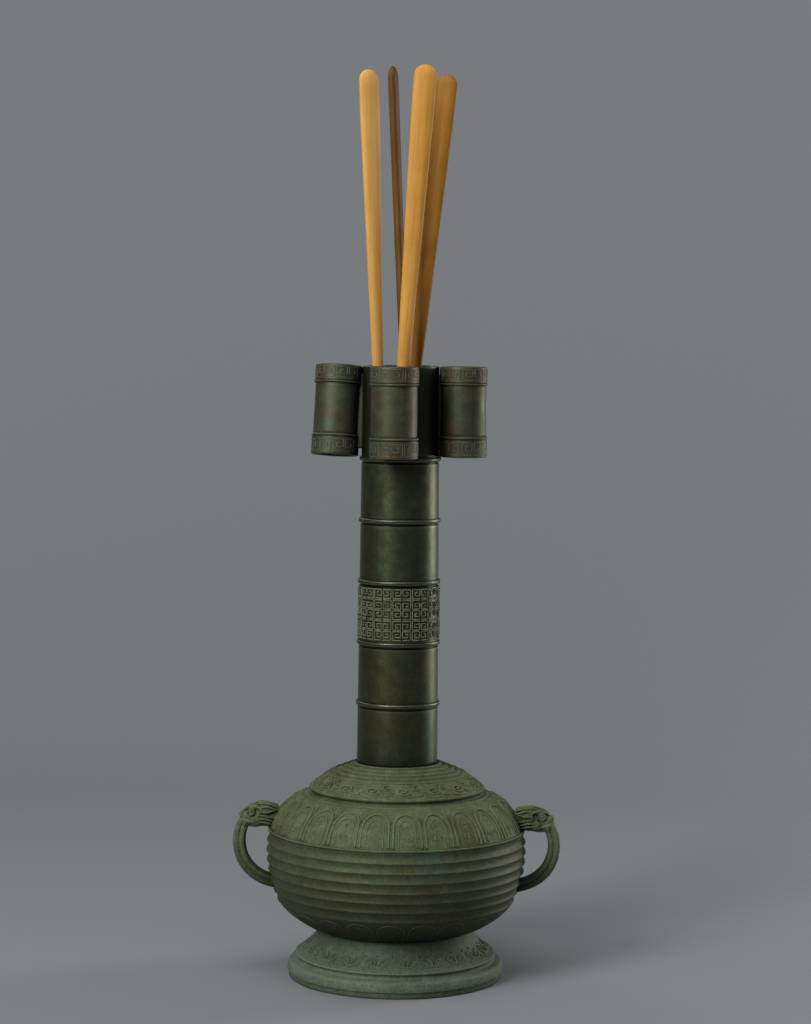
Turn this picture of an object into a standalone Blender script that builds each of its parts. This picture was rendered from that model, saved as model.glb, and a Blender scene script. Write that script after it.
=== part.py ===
"""Bronze arrow vase: a pitch-pot with a fluted belly, a ringed neck, four ears, two handles and four arrows.

Metres, +Z up. The origin is the middle of the foot's resting face, and +X runs through the right-hand handle.
The vessel is cast in sections that are soldered together, so each section is an object of its own.
"""

import math

import bmesh
import bpy
from mathutils import Matrix, Vector

# Fits and facets
CLEARANCE = 0.0003
WALL = 0.0040
BODY_SEGMENTS = 36
NECK_SEGMENTS = 28
EAR_SEGMENTS = 20
FEATURE_SEGMENTS = 8
SKULL_SEGMENTS = 12
SHARP_EDGE = math.radians(35)

# Pedestal foot
FOOT_HEIGHT = 0.0480
FOOT_RADIUS = 0.1075
FOOT_FLANGE_HEIGHT = 0.0160
FOOT_STEP_RADIUS = 0.1000
FOOT_STEP_HEIGHT = 0.0080
FOOT_REST_WIDTH = 0.0085
FOOT_EDGE = 0.0015
FLARE_BOW = 0.0030
THROAT_RADIUS = 0.0760
SOCKET_RADIUS = 0.0620
SOCKET_DEPTH = 0.0040

# Belly bowl and the plate in its core opening
BELLY_HEIGHT = 0.0998
BELLY_RADIUS = 0.1293
BELLY_WIDEST_HEIGHT = 0.0790
FLUTE_COUNT = 7
FLUTE_DEPTH = 0.0018
FLUTE_STEPS = 3
FLUTES_START_HEIGHT = 0.0294
FLUTES_START_RADIUS = 0.1182
BOWL_BASE_BOW = 0.0039
CORE_OPENING_RADIUS = 0.0480
PLATE_RADIUS = 0.0540
PLATE_THICKNESS = 0.0028

# Shoulder dome
SHOULDER_HEIGHT = 0.0667
RIDGE_PROUD = 0.0005
RIDGE_DEPTH = 0.0026
LAP_DEPTH = 0.0060
SHOULDER_TOP_RADIUS = 0.0970
SHOULDER_RISE = 0.0347
SHOULDER_BOW = 0.0038
LEDGE_WIDTH = 0.0045
LEDGE_RISE = 0.0029
GROOVE_DEPTH = 0.0016
CAP_SETBACK = 0.0110
CAP_RISE = 0.0068
CAP_EDGE_HEIGHT = 0.0037
CAP_TOP_RADIUS = 0.0680
CAP_HOLLOW = 0.0008
COLLAR_RADIUS = 0.0425
COLLAR_STEPS = 3
COLLAR_RISE = 0.0097

# Neck tube
NECK_LENGTH = 0.3935
NECK_FOOT_RADIUS = 0.0401
NECK_MOUTH_RADIUS = 0.0378
NECK_BORE_RADIUS = 0.0350
SPIGOT_WALL = 0.0022
SPIGOT_LENGTH = 0.0120
RING_COUNT = 5
RING_PITCH = 0.0606
RING_HEIGHT = 0.0048
RING_PROUD = 0.0018
TOP_RING_DROP = 0.0026
BAND_OVER_RING = 2
BAND_PROUD = 0.0010
LIP_EDGE = 0.0008

# Ears round the mouth
EAR_LENGTH = 0.0890
EAR_RADIUS = 0.0234
EAR_WALL = 0.0030
EAR_TOP_BAND = 0.0160
EAR_FOOT_BAND = 0.0180
EAR_BAND_PROUD = 0.0009
EAR_BEAD = 0.0022
EAR_BEAD_PROUD = 0.0005
SADDLE_WIDTH = 0.0110
SADDLE_MARGIN = 0.0080
EAR_RING_TURN = math.radians(-3.5)
LEFT_EAR_LEAN = math.radians(1.9)
LEFT_EAR_TIP = math.radians(6.0)

# Handles: a strap bowed from the beast's mouth down to the belly
STRAP_WIDTH = 0.0150
STRAP_THICKNESS = 0.0120
STRAP_GROOVE = 0.0012
STRAP_STEPS = 12
STRAP_REACH = 0.0298
STRAP_TOP_HEIGHT = 0.0052
STRAP_FOOT_HEIGHT = 0.0435

# Beast heads: places are out from the ridge, aside from the middle and up from the ridge
SKULL_PLACE = (0.0046, 0.0, 0.0115)
SKULL_SIZE = (0.0148, 0.0122, 0.0125)
MUZZLE_LENGTH = 0.0170
MUZZLE_WIDTH = 0.0176
MUZZLE_HEIGHT = 0.0168
MUZZLE_EDGE = 0.0042
SNOUT_REACH = 0.0288
LIP_LINE_HEIGHT = 0.0064
LIP_LINE_DEPTH = 0.0012
BROW_PLACE = (0.0140, 0.0068, 0.0192)
BROW_SIZE = (0.0056, 0.0036, 0.0026)
EYE_PLACE = (0.0176, 0.0084, 0.0150)
EYE_SIZE = (0.0026, 0.0022, 0.0026)
BEAST_EAR_PLACE = (0.0020, 0.0106, 0.0176)
BEAST_EAR_SIZE = (0.0078, 0.0030, 0.0040)
NOSTRIL_PLACE = (0.0272, 0.0042, 0.0124)
NOSTRIL_SIZE = (0.0026, 0.0026, 0.0024)

# Arrows: the lower shaft is nearly round, the upper end is a flat blade
ARROW_LENGTH = 0.8490
SHAFT_WIDTH = 0.0095
SHAFT_THICKNESS = 0.0080
BLADE_WIDTH = 0.0213
BLADE_THICKNESS = 0.0102
BLADE_START = 0.4950
BLADE_FULL = 0.0430
ARROW_SIDES = 12
# name, where it crosses the plane of the mouth, where it stands on the floor, turn of its blade
ARROWS = (
    ("arrow_1", (-0.0239, 0.0137), (0.0002, -0.0097), math.radians(35)),
    ("arrow_2", (0.0026, 0.0012), (0.0284, 0.0274), math.radians(88)),
    ("arrow_3", (0.0030, -0.0288), (-0.0348, -0.0112), math.radians(4)),
    ("arrow_4", (0.0139, 0.0263), (-0.0404, -0.0001), math.radians(-12)),
)

# Heights and radii that follow from the sizes above
RIDGE_Z = FOOT_HEIGHT + BELLY_HEIGHT
NECK_SEAT_Z = RIDGE_Z + SHOULDER_HEIGHT
MOUTH_Z = NECK_SEAT_Z + NECK_LENGTH
EAR_FOOT_Z = MOUTH_Z - EAR_LENGTH
BOWL_SEAT_Z = FOOT_HEIGHT + CLEARANCE
FLOOR_Z = BOWL_SEAT_Z + WALL
BOWL_RIM_Z = RIDGE_Z - RIDGE_DEPTH / 2 - CLEARANCE
SHOULDER_TOP_Z = RIDGE_Z + SHOULDER_RISE
CAP_FOOT_Z = SHOULDER_TOP_Z + CAP_RISE
CAP_RADIUS = SHOULDER_TOP_RADIUS - CAP_SETBACK


def clear_scene():
    for thing in list(bpy.data.objects):
        bpy.data.objects.remove(thing, do_unlink=True)


def linear(channel):
    value = channel / 255
    return value / 12.92 if value <= 0.04045 else ((value + 0.055) / 1.055) ** 2.4


def make_material(name, red, green, blue, roughness, metallic):
    material = bpy.data.materials.new(name)
    material.use_nodes = True
    shader = material.node_tree.nodes["Principled BSDF"]
    shader.inputs["Base Color"].default_value = (linear(red), linear(green), linear(blue), 1)
    shader.inputs["Roughness"].default_value = roughness
    shader.inputs["Metallic"].default_value = metallic
    return material


def new_object(name, mesh, collection, material=None):
    thing = bpy.data.objects.new(name, mesh)
    collection.objects.link(thing)
    if material:
        mesh.materials.append(material)
    mesh.shade_smooth()
    mesh.set_sharp_from_angle(angle=SHARP_EDGE)
    return thing


def as_cutter(thing):
    thing.hide_render = True
    thing.display_type = "WIRE"
    return thing


def combine(target, other, operation):
    modifier = target.modifiers.new(f"{operation.lower()} {other.name}", "BOOLEAN")
    modifier.operation = operation
    modifier.object = other
    return target


def evaluated_mesh(thing):
    """The object's mesh with its modifiers applied and its seams closed."""
    bpy.context.view_layer.update()
    graph = bpy.context.evaluated_depsgraph_get()
    mesh = bpy.data.meshes.new_from_object(thing.evaluated_get(graph))
    shape = bmesh.new()
    shape.from_mesh(mesh)
    bmesh.ops.remove_doubles(shape, verts=shape.verts, dist=1e-6)
    bmesh.ops.recalc_face_normals(shape, faces=shape.faces)
    shape.to_mesh(mesh)
    shape.free()
    return mesh


def bow(start, control, end, steps):
    """Points of a quadratic curve, ends included."""
    points = []
    for step in range(steps + 1):
        t = step / steps
        points.append(tuple(
            (1 - t) ** 2 * a + 2 * t * (1 - t) * b + t * t * c for a, b, c in zip(start, control, end)
        ))
    return points


def beside(start, end, distance):
    """The middle of a line, moved to its left by a distance: the control point of a bowed edge."""
    along = Vector(end) - Vector(start)
    middle = (Vector(start) + Vector(end)) / 2
    return tuple(middle + Vector((-along.y, along.x)).normalized() * distance)


def bowed(start, end, distance, steps):
    return bow(start, beside(start, end, 2 * distance), end, steps)


def inset(points, wall):
    """A profile that runs down the outer side, moved inwards by the wall."""
    moved = []
    for index, point in enumerate(points):
        before = Vector(points[max(index - 1, 0)])
        after = Vector(points[min(index + 1, len(points) - 1)])
        along = (after - before).normalized()
        moved.append((point[0] + wall * along.y, point[1] - wall * along.x))
    return moved


def turned(name, profile, segments, collection, material=None):
    """A closed (radius, height) outline turned round Z. The outline runs down its outer side."""
    mesh = bpy.data.meshes.new(name)
    count = len(profile)
    edges = [(index, (index + 1) % count) for index in range(count)]
    mesh.from_pydata([(radius, 0, height) for radius, height in profile], edges, [])
    thing = new_object(name, mesh, collection, material)
    screw = thing.modifiers.new("turn", "SCREW")
    screw.steps = segments
    screw.render_steps = segments
    screw.use_merge_vertices = True
    screw.merge_threshold = 0.00001
    return thing


def make_block(name, middle, size, edge, collection):
    """A cutter or blank: a box about its middle, with softened edges where an edge is given."""
    shape = bmesh.new()
    bmesh.ops.create_cube(shape, size=1, matrix=Matrix.Translation(middle) @ Matrix.Diagonal((*size, 1)))
    if edge:
        bmesh.ops.bevel(shape, geom=shape.edges[:], offset=edge, segments=2, profile=0.5, affect="EDGES")
    mesh = bpy.data.meshes.new(name)
    shape.to_mesh(mesh)
    shape.free()
    return as_cutter(new_object(name, mesh, collection))


def make_ball(name, middle, size, segments, collection):
    """A blank for cast features: an ellipsoid with half its size along each axis given."""
    shape = bmesh.new()
    place = Matrix.Translation(middle) @ Matrix.Diagonal((*size, 1))
    rings = segments * 2 // 3
    bmesh.ops.create_uvsphere(shape, u_segments=segments, v_segments=rings, radius=1, matrix=place)
    mesh = bpy.data.meshes.new(name)
    shape.to_mesh(mesh)
    shape.free()
    return as_cutter(new_object(name, mesh, collection))


def foot_profile():
    step_top = FOOT_FLANGE_HEIGHT + FOOT_STEP_HEIGHT
    throat = (THROAT_RADIUS, FOOT_HEIGHT)
    shelf = (FOOT_STEP_RADIUS - FOOT_EDGE, step_top)
    flare = bowed(throat, shelf, -FLARE_BOW, 4)
    hollow = inset(flare, WALL)[1:]
    flange = FOOT_FLANGE_HEIGHT
    outer = flare + [
        (FOOT_STEP_RADIUS, step_top - FOOT_EDGE),
        (FOOT_STEP_RADIUS, flange + FOOT_EDGE),
        (FOOT_RADIUS - FOOT_EDGE, flange),
        (FOOT_RADIUS, flange - FOOT_EDGE),
        (FOOT_RADIUS, FOOT_EDGE),
        (FOOT_RADIUS - FOOT_EDGE, 0),
    ]
    inner = [
        (FOOT_RADIUS - FOOT_EDGE - FOOT_REST_WIDTH, 0),
        (FOOT_STEP_RADIUS - WALL, flange - FOOT_EDGE),
        *reversed(hollow),
        (SOCKET_RADIUS, FOOT_HEIGHT - WALL),
        (SOCKET_RADIUS, FOOT_HEIGHT),
    ]
    return outer + inner


def belly_radius(height):
    """Radius of the flutes' crests: fullest at the widest height, falling off as a parabola."""
    widest = FOOT_HEIGHT + BELLY_WIDEST_HEIGHT
    start = FOOT_HEIGHT + FLUTES_START_HEIGHT
    share = (height - widest) / (start - widest)
    return BELLY_RADIUS - (BELLY_RADIUS - FLUTES_START_RADIUS) * share * share


def flute_outline():
    """The fluted wall from the rim down: hollow bands between sharp crests."""
    start = FOOT_HEIGHT + FLUTES_START_HEIGHT
    pitch = (BOWL_RIM_Z - start) / FLUTE_COUNT
    points = []
    for step in range(FLUTE_COUNT * FLUTE_STEPS + 1):
        share = step % FLUTE_STEPS / FLUTE_STEPS
        height = BOWL_RIM_Z - pitch * step / FLUTE_STEPS
        points.append((belly_radius(height) - FLUTE_DEPTH * 4 * share * (1 - share), height))
    return points


def crest_outline(top, steps):
    start = FOOT_HEIGHT + FLUTES_START_HEIGHT
    heights = [top + (start - top) * step / steps for step in range(steps + 1)]
    return [(belly_radius(height), height) for height in heights]


def bowl_base():
    """The rounded underside, from the lowest crest in to the throat."""
    low_crest = (FLUTES_START_RADIUS, FOOT_HEIGHT + FLUTES_START_HEIGHT)
    return bowed(low_crest, (THROAT_RADIUS, BOWL_SEAT_Z), BOWL_BASE_BOW, 5)


def bowl_profile():
    base = bowl_base()
    spigot = SOCKET_RADIUS - CLEARANCE
    spigot_z = BOWL_SEAT_Z - SOCKET_DEPTH
    ledge_z = FLOOR_Z - PLATE_THICKNESS - CLEARANCE
    pocket = PLATE_RADIUS + CLEARANCE
    inner_wall = inset(crest_outline(BOWL_RIM_Z, 5) + base[1:], WALL)
    inner_wall = [point for point in inner_wall if point[1] > FLOOR_Z + WALL / 4]
    inner_wall[0] = (inner_wall[0][0], BOWL_RIM_Z)
    return flute_outline() + base[1:] + [
        (spigot, BOWL_SEAT_Z),
        (spigot, spigot_z),
        (CORE_OPENING_RADIUS, spigot_z),
        (CORE_OPENING_RADIUS, ledge_z),
        (pocket, ledge_z),
        (pocket, FLOOR_Z),
        (THROAT_RADIUS, FLOOR_Z),
        *reversed(inner_wall),
    ]


def make_floor_plate(collection, material):
    shape = bmesh.new()
    middle = Matrix.Translation((0, 0, FLOOR_Z - PLATE_THICKNESS / 2))
    bmesh.ops.create_cone(
        shape, cap_ends=True, segments=BODY_SEGMENTS, radius1=PLATE_RADIUS, radius2=PLATE_RADIUS,
        depth=PLATE_THICKNESS, matrix=middle,
    )
    mesh = bpy.data.meshes.new("floor_plate")
    shape.to_mesh(mesh)
    shape.free()
    return new_object("floor_plate", mesh, collection, material)


def shoulder_outline():
    """The petal band, from the ledge under the cap down to the ridge."""
    foot = (belly_radius(RIDGE_Z) - RIDGE_DEPTH, RIDGE_Z + RIDGE_DEPTH / 2)
    return bowed((SHOULDER_TOP_RADIUS, SHOULDER_TOP_Z), foot, SHOULDER_BOW, 5)


def ridge_outline():
    """The raised line where dome and bowl meet."""
    crest = belly_radius(RIDGE_Z) + RIDGE_PROUD
    return [
        (crest, RIDGE_Z + RIDGE_DEPTH / 4),
        (crest, RIDGE_Z - RIDGE_DEPTH / 4),
        (belly_radius(RIDGE_Z), RIDGE_Z - RIDGE_DEPTH / 2),
    ]


def cap_outline():
    """The raised cap, from the lowest collar step down to its edge."""
    top = (CAP_TOP_RADIUS, NECK_SEAT_Z - COLLAR_RISE)
    edge = (CAP_RADIUS, CAP_FOOT_Z + CAP_EDGE_HEIGHT)
    return bowed(top, edge, -CAP_HOLLOW, 3)


def collar_outline():
    """Stepped rings from the neck down to the cap: under each crest a steep riser, then a sloping tread."""
    width = (CAP_TOP_RADIUS - COLLAR_RADIUS) / COLLAR_STEPS
    drop = COLLAR_RISE / COLLAR_STEPS
    riser_width = width / 4
    riser_drop = drop * 3 / 4
    points = []
    for step in range(COLLAR_STEPS):
        radius = COLLAR_RADIUS + width * step
        height = NECK_SEAT_Z - drop * step
        points.append((radius, height))
        points.append((radius + riser_width, height - riser_drop))
    return points


def dome_profile():
    shoulder = shoulder_outline()
    cap = cap_outline()
    groove = (CAP_RADIUS - GROOVE_DEPTH, CAP_FOOT_Z - GROOVE_DEPTH / 2)
    lip = belly_radius(BOWL_RIM_Z) - WALL - CLEARANCE
    ridge_foot = RIDGE_Z - RIDGE_DEPTH / 2
    socket = NECK_BORE_RADIUS + SPIGOT_WALL + CLEARANCE
    outer = collar_outline() + cap + [
        (CAP_RADIUS + RIDGE_PROUD, CAP_FOOT_Z + CAP_EDGE_HEIGHT / 2),
        (CAP_RADIUS, CAP_FOOT_Z),
        groove,
        (SHOULDER_TOP_RADIUS - LEDGE_WIDTH, SHOULDER_TOP_Z + LEDGE_RISE),
        *shoulder,
        *ridge_outline(),
    ]
    roof = inset([cap[0], groove, *shoulder[:-1]], WALL)
    inner = [
        (lip, ridge_foot),
        (lip, ridge_foot - LAP_DEPTH),
        (lip - WALL / 2, ridge_foot - LAP_DEPTH),
        *reversed(roof),
        (COLLAR_RADIUS + WALL, NECK_SEAT_Z - SPIGOT_LENGTH),
        (socket, NECK_SEAT_Z - SPIGOT_LENGTH),
        (socket, NECK_SEAT_Z),
    ]
    return outer + inner


def neck_radius(height):
    share = (height - NECK_SEAT_Z) / NECK_LENGTH
    return NECK_FOOT_RADIUS + (NECK_MOUTH_RADIUS - NECK_FOOT_RADIUS) * share


def neck_ring_z(index):
    """Middle of a ring. The rings are counted up, and the topmost lies just under the ears."""
    return EAR_FOOT_Z - TOP_RING_DROP - RING_PITCH * (RING_COUNT - 1 - index)


def neck_profile():
    """Rings like the nodes of bamboo, with a raised band between two of them."""
    seat = NECK_SEAT_Z + CLEARANCE
    spigot = NECK_BORE_RADIUS + SPIGOT_WALL
    outer = [
        (neck_radius(MOUTH_Z) - LIP_EDGE, MOUTH_Z),
        (neck_radius(MOUTH_Z), MOUTH_Z - LIP_EDGE),
    ]
    for index in reversed(range(RING_COUNT)):
        middle = neck_ring_z(index)
        above = BAND_PROUD if index == BAND_OVER_RING - 1 else 0
        below = BAND_PROUD if index == BAND_OVER_RING else 0
        radius = neck_radius(middle)
        outer += [
            (radius + above, middle + RING_HEIGHT / 2),
            (radius + RING_PROUD, middle + RING_HEIGHT / 4),
            (radius + RING_PROUD, middle - RING_HEIGHT / 4),
            (radius + below, middle - RING_HEIGHT / 2),
        ]
    return outer + [
        (NECK_FOOT_RADIUS, seat),
        (spigot, seat),
        (spigot, NECK_SEAT_Z - SPIGOT_LENGTH),
        (NECK_BORE_RADIUS, NECK_SEAT_Z - SPIGOT_LENGTH),
        (NECK_BORE_RADIUS, MOUTH_Z - LIP_EDGE),
        (NECK_BORE_RADIUS + LIP_EDGE, MOUTH_Z),
    ]


def ear_profile():
    """An open tube with a band and a bead at each end, about its own middle."""
    top = EAR_LENGTH / 2
    barrel = EAR_RADIUS - EAR_BAND_PROUD
    crest = EAR_RADIUS + EAR_BEAD_PROUD
    bore = EAR_RADIUS - EAR_BAND_PROUD - EAR_WALL
    upper = top - EAR_TOP_BAND
    lower = -top + EAR_FOOT_BAND
    return [
        (EAR_RADIUS, top),
        (EAR_RADIUS, upper),
        (crest, upper - EAR_BEAD / 4),
        (crest, upper - EAR_BEAD * 3 / 4),
        (barrel, upper - EAR_BEAD),
        (barrel, lower + EAR_BEAD),
        (crest, lower + EAR_BEAD * 3 / 4),
        (crest, lower + EAR_BEAD / 4),
        (EAR_RADIUS, lower),
        (EAR_RADIUS, -top),
        (bore, -top),
        (bore, top),
    ]


def make_neck_cutter(collection):
    """The neck's outside with the solder gap, over the stretch where the ears sit."""
    low = EAR_FOOT_Z - RING_PITCH / 2
    high = MOUTH_Z + RING_PITCH / 2
    shape = bmesh.new()
    bmesh.ops.create_cone(
        shape, cap_ends=True, segments=NECK_SEGMENTS, radius1=neck_radius(low) + CLEARANCE,
        radius2=neck_radius(high) + CLEARANCE, depth=high - low,
        matrix=Matrix.Translation((0, 0, (low + high) / 2)),
    )
    mesh = bpy.data.meshes.new("neck_cutter")
    shape.to_mesh(mesh)
    shape.free()
    return as_cutter(new_object("neck_cutter", mesh, collection))


def make_ear(name, direction, lean, tip, neck_cutter, collection, helpers, material):
    """An ear at a compass direction. Lean brings its top towards the neck, tip towards the front."""
    height = MOUTH_Z - EAR_LENGTH / 2
    spread = EAR_LENGTH / 2 * math.sin(abs(lean))
    reach = neck_radius(height) + EAR_RADIUS + EAR_BEAD_PROUD + spread
    outward = Matrix.Rotation(direction, 4, "Z")
    place = Matrix.Translation((0, 0, height)) @ outward @ Matrix.Translation((reach, 0, 0))
    place = place @ Matrix.Rotation(-lean, 4, "Y") @ Matrix.Rotation(tip, 4, "X")
    tube = turned(name, ear_profile(), EAR_SEGMENTS, collection, material)
    tube.matrix_world = place
    saddle_start = EAR_RADIUS - EAR_BAND_PROUD - EAR_WALL / 2
    saddle_end = reach - NECK_BORE_RADIUS
    size = (saddle_end - saddle_start, SADDLE_WIDTH, EAR_LENGTH - 2 * SADDLE_MARGIN)
    middle = (-(saddle_start + saddle_end) / 2, 0, 0)
    saddle = make_block(f"{name}_saddle", middle, size, 0, helpers)
    saddle.matrix_world = place
    combine(tube, saddle, "UNION")
    combine(tube, neck_cutter, "DIFFERENCE")
    return tube


def make_body_cutter(collection):
    """The outside of bowl and dome with the solder gap, filled to the axis."""
    belly = crest_outline(BOWL_RIM_Z, 8) + bowl_base()[1:]
    wall = inset(shoulder_outline() + ridge_outline() + belly, -CLEARANCE)
    profile = [(0.0, wall[0][1]), *wall, (0.0, wall[-1][1])]
    return as_cutter(turned("body_cutter", profile, BODY_SEGMENTS, collection))


def strap_section():
    """The strap's cross-section: one side, then the same turned half round. A groove runs along each side."""
    half_width = STRAP_WIDTH / 2
    half_depth = STRAP_THICKNESS / 2
    corner = STRAP_GROOVE * 2
    side = [
        (half_width - corner, half_depth),
        (half_width, half_depth - corner),
        (half_width - STRAP_GROOVE, 0),
        (half_width, corner - half_depth),
        (half_width - corner, -half_depth),
    ]
    return side + [(-across, -depth) for across, depth in side]


def make_strap(helpers):
    """The strap's bow: out of the beast's mouth, down and round to the belly."""
    foot_z = FOOT_HEIGHT + STRAP_FOOT_HEIGHT
    top_z = RIDGE_Z + STRAP_TOP_HEIGHT
    reach = belly_radius(RIDGE_Z) + STRAP_REACH
    section_curve = bpy.data.curves.new("strap_section", "CURVE")
    section = section_curve.splines.new("POLY")
    outline = strap_section()
    section.points.add(len(outline) - 1)
    for point, (across, depth) in zip(section.points, outline):
        point.co = (across, depth, 0, 1)
    section.use_cyclic_u = True
    section_object = bpy.data.objects.new("strap_section", section_curve)
    helpers.objects.link(section_object)
    path_curve = bpy.data.curves.new("strap_path", "CURVE")
    path_curve.dimensions = "3D"
    path_curve.resolution_u = STRAP_STEPS
    path_curve.bevel_mode = "OBJECT"
    path_curve.bevel_object = section_object
    path_curve.use_fill_caps = True
    path = path_curve.splines.new("BEZIER")
    path.bezier_points.add(1)
    top, foot = path.bezier_points
    top.handle_left_type = top.handle_right_type = "FREE"
    foot.handle_left_type = foot.handle_right_type = "FREE"
    top.co = (reach - STRAP_THICKNESS / 2, 0, top_z)
    top.handle_right = (reach + STRAP_THICKNESS / 3, 0, top_z - STRAP_THICKNESS)
    foot.handle_left = (reach + STRAP_THICKNESS / 2, 0, foot_z + STRAP_THICKNESS * 2 / 3)
    foot.co = (belly_radius(foot_z) - WALL, 0, foot_z)
    top.handle_left = top.co
    foot.handle_right = foot.co
    path_object = bpy.data.objects.new("strap_path", path_curve)
    helpers.objects.link(path_object)
    strap = as_cutter(new_object("strap", evaluated_mesh(path_object), helpers))
    bpy.data.objects.remove(path_object)
    bpy.data.objects.remove(section_object)
    return strap


def head_point(place, side=1):
    """A place on the beast's head, which sits on the ridge: out, aside and up."""
    out, aside, up = place
    return belly_radius(RIDGE_Z) + out, side * aside, RIDGE_Z + up


def make_muzzle(helpers):
    """A blunt muzzle with softened edges, parted by the line of the lips."""
    out = SNOUT_REACH - MUZZLE_LENGTH / 2
    middle = head_point((out, 0, MUZZLE_HEIGHT / 2))
    size = (MUZZLE_LENGTH, MUZZLE_WIDTH, MUZZLE_HEIGHT)
    muzzle = make_block("muzzle", middle, size, MUZZLE_EDGE, helpers)
    line_middle = head_point((out + MUZZLE_LENGTH / 3, 0, LIP_LINE_HEIGHT))
    line_size = (MUZZLE_LENGTH, MUZZLE_WIDTH * 2, LIP_LINE_DEPTH)
    lip_line = make_block("lip_line", line_middle, line_size, 0, helpers)
    return combine(muzzle, lip_line, "DIFFERENCE")


def make_head(helpers):
    """Skull, muzzle, and a brow, eye, ear and nostril on each side."""
    skull = make_ball("skull", head_point(SKULL_PLACE), SKULL_SIZE, SKULL_SEGMENTS, helpers)
    pieces = [skull, make_muzzle(helpers)]
    features = (
        ("brow", BROW_PLACE, BROW_SIZE),
        ("eye", EYE_PLACE, EYE_SIZE),
        ("beast_ear", BEAST_EAR_PLACE, BEAST_EAR_SIZE),
        ("nostril", NOSTRIL_PLACE, NOSTRIL_SIZE),
    )
    for name, place, size in features:
        for side in (-1, 1):
            pieces.append(make_ball(name, head_point(place, side), size, FEATURE_SEGMENTS, helpers))
    return pieces


def make_handles(body_cutter, collection, helpers, material):
    """One casting, used twice: the left handle is the right one turned half round."""
    blank = make_strap(helpers)
    for piece in make_head(helpers):
        combine(blank, piece, "UNION")
    combine(blank, body_cutter, "DIFFERENCE")
    casting = evaluated_mesh(blank)
    right = new_object("handle_right", casting, collection, material)
    left = bpy.data.objects.new("handle_left", casting)
    collection.objects.link(left)
    left.rotation_euler.z = math.pi
    return right, left


def arrow_half_sizes(station):
    """Half width and half thickness of an arrow at a distance from its foot."""
    full = ARROW_LENGTH - BLADE_FULL
    share = min(max((station - BLADE_START) / (full - BLADE_START), 0), 1)
    width = SHAFT_WIDTH + (BLADE_WIDTH - SHAFT_WIDTH) * share
    thickness = SHAFT_THICKNESS + (BLADE_THICKNESS - SHAFT_THICKNESS) * share
    return width / 2, thickness / 2


def arrow_stations():
    """Distances from the foot, with the share of the section that is left at each: both ends are rounded."""
    foot_round = SHAFT_WIDTH / 2
    tip_round = BLADE_WIDTH / 2
    last = ARROW_LENGTH - tip_round
    steps = 4
    stations = []
    for angle in (15, 50):
        turn = math.radians(angle)
        stations.append((foot_round * (1 - math.cos(turn)), math.sin(turn)))
    for step in range(steps):
        stations.append((foot_round + (BLADE_START - foot_round) * step / steps, 1.0))
    for step in range(steps + 1):
        stations.append((BLADE_START + (last - BLADE_START) * step / steps, 1.0))
    for angle in (35, 62, 80):
        turn = math.radians(angle)
        stations.append((last + tip_round * math.sin(turn), math.cos(turn)))
    return stations


def make_arrow(name, mouth, stand, blade_turn, collection, material):
    """A stick from the floor past the mouth. Its origin is at its foot and its local Z runs up it."""
    shape = bmesh.new()
    stations = arrow_stations()
    ring = bmesh.ops.create_circle(shape, segments=ARROW_SIDES, radius=1)["verts"]
    unit = [vertex.co.copy() for vertex in ring]
    edges = list(shape.edges)
    bmesh.ops.contextual_create(shape, geom=edges)
    for index, (along, left) in enumerate(stations):
        if index:
            grown = bmesh.ops.extrude_edge_only(shape, edges=edges)["geom"]
            edges = [part for part in grown if isinstance(part, bmesh.types.BMEdge)]
            made = [part for part in grown if isinstance(part, bmesh.types.BMVert)]
            ring = sorted(made, key=lambda vertex: math.atan2(vertex.co.y, vertex.co.x))
            unit = sorted(unit, key=lambda point: math.atan2(point.y, point.x))
        half_width, half_thickness = arrow_half_sizes(along)
        for vertex, point in zip(ring, unit):
            vertex.co = (point.x * half_width * left, point.y * half_thickness * left, along)
    bmesh.ops.contextual_create(shape, geom=edges)
    bmesh.ops.recalc_face_normals(shape, faces=shape.faces)
    mesh = bpy.data.meshes.new(name)
    shape.to_mesh(mesh)
    shape.free()
    arrow = new_object(name, mesh, collection, material)
    foot = Vector((*stand, FLOOR_Z))
    crossing = Vector((*mouth, MOUTH_Z))
    up = (crossing - foot).normalized()
    across = Vector((math.cos(blade_turn), math.sin(blade_turn), 0))
    across = (across - up * across.dot(up)).normalized()
    frame = Matrix((across, up.cross(across), up)).transposed().to_4x4()
    slope = math.sqrt(1 - up.z * up.z)
    foot.z += CLEARANCE + slope * SHAFT_WIDTH / 2
    arrow.matrix_world = Matrix.Translation(foot) @ frame
    return arrow


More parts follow.
